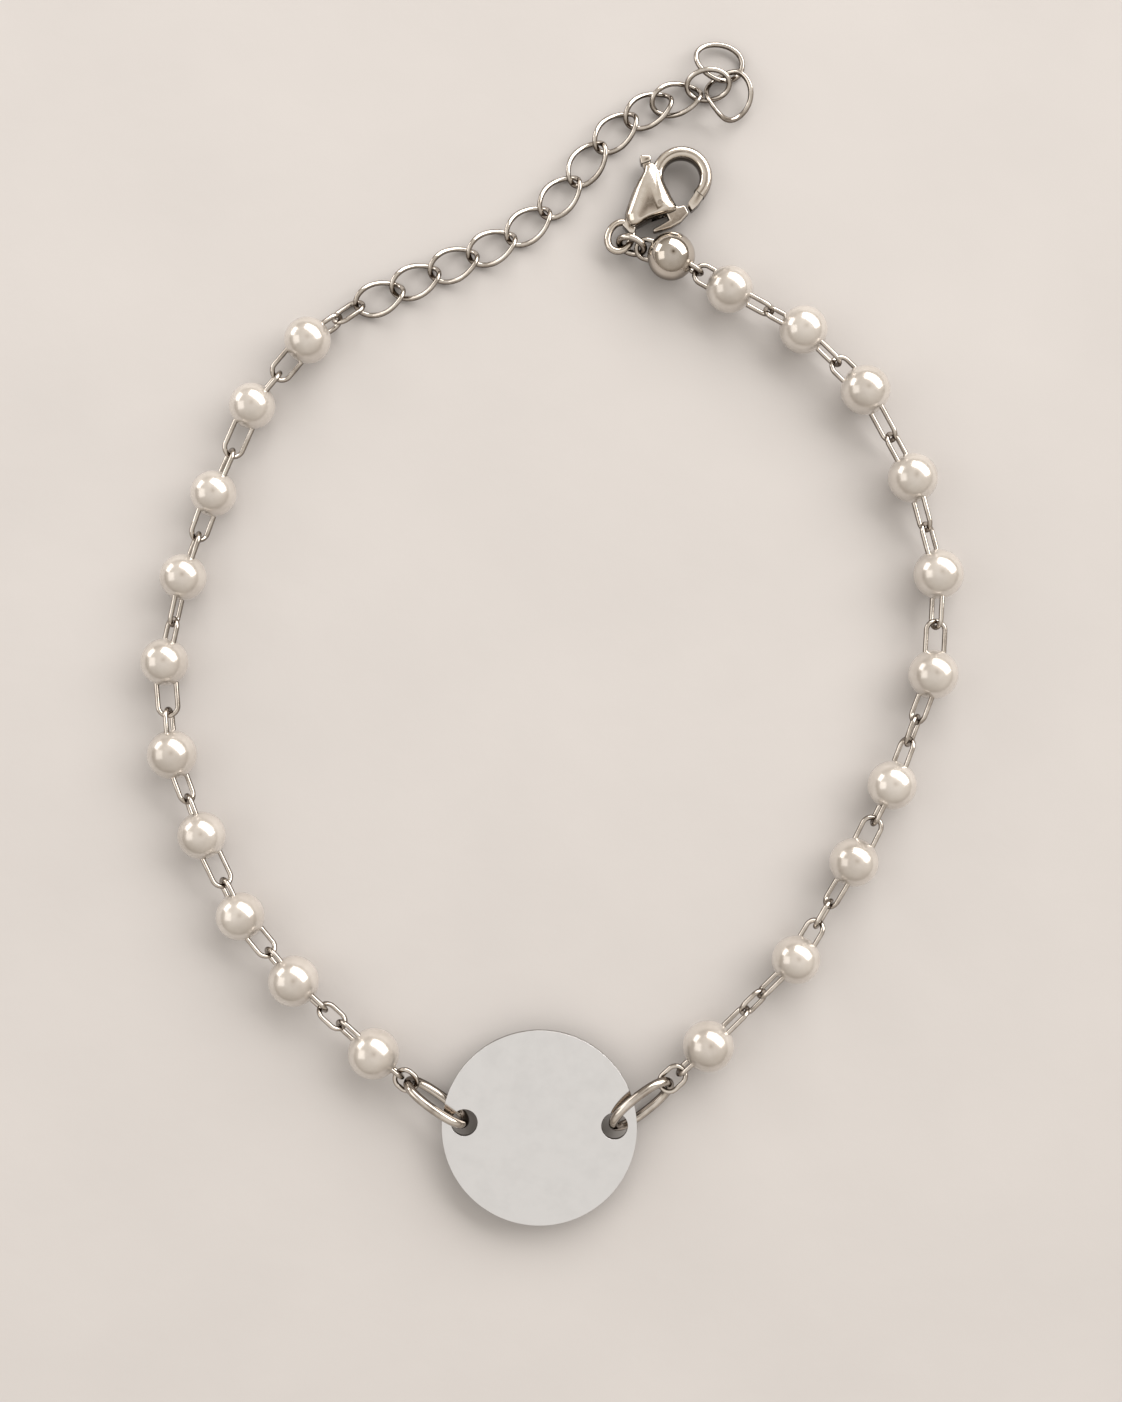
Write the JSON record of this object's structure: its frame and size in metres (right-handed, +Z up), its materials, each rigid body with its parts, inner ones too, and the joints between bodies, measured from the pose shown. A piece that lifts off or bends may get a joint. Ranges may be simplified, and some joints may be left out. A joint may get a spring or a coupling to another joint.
{
  "type": "pearl bracelet",
  "caption": "Pearl bracelet on a fine cable chain with a curb extender, a lobster clasp, a metal bead and a round blank tag",
  "frame": {"origin": "middle of the footprint on the floor", "axes": "+Z up from the floor, +X across the loop, +Y along it from the tag to the clasp end"},
  "size_m": [0.0666, 0.0964, 0.0042],
  "materials": {
    "pearl_gloss": "pearl",
    "polished_steel": "polished"
  },
  "bodies": {
    "bracelet": {"clasp_body": "polished_steel", "clasp_ring": "polished_steel", "disc_tag": "polished_steel", "end_link_a": "polished_steel", "end_link_b": "polished_steel", "extender_link_01": "polished_steel", "extender_link_02": "polished_steel", "extender_link_03": "polished_steel", "extender_link_04": "polished_steel", "extender_link_05": "polished_steel", "extender_link_06": "polished_steel", "extender_link_07": "polished_steel", "extender_link_08": "polished_steel", "extender_link_09": "polished_steel", "extender_link_10": "polished_steel", "extender_link_11": "polished_steel", "jump_ring_left": "polished_steel", "jump_ring_right": "polished_steel", "link_extender": "polished_steel", "link_left_01_02": "polished_steel", "link_left_tag": "polished_steel", "link_right_06_07": "polished_steel", "link_right_08_09": "polished_steel", "link_right_09_10": "polished_steel", "link_right_tag": "polished_steel", "pearl_left_01": "pearl_gloss", "pearl_left_02": "pearl_gloss", "pearl_left_03": "pearl_gloss", "pearl_left_04": "pearl_gloss", "pearl_left_05": "pearl_gloss", "pearl_left_06": "pearl_gloss", "pearl_left_07": "pearl_gloss", "pearl_left_08": "pearl_gloss", "pearl_left_09": "pearl_gloss", "pearl_left_10": "pearl_gloss", "pearl_right_01": "pearl_gloss", "pearl_right_02": "pearl_gloss", "pearl_right_03": "pearl_gloss", "pearl_right_04": "pearl_gloss", "pearl_right_05": "pearl_gloss", "pearl_right_06": "pearl_gloss", "pearl_right_07": "pearl_gloss", "pearl_right_08": "pearl_gloss", "pearl_right_09": "pearl_gloss", "pearl_right_10": "pearl_gloss", "steel_bead": "polished_steel"},
    "lever": {"clasp_lever": "polished_steel"}
  },
  "joints": [
    {"name": "clasp_lever_hinge", "type": "hinge", "parent": "bracelet", "child": "lever", "pos_m": [0.00875, 0.03461, 0.00115], "axis": [0, 0, 1], "range_deg": [0, 25], "stiffness_Nm_per_rad": 0.0002, "springref_deg": -11.46}
  ]
}
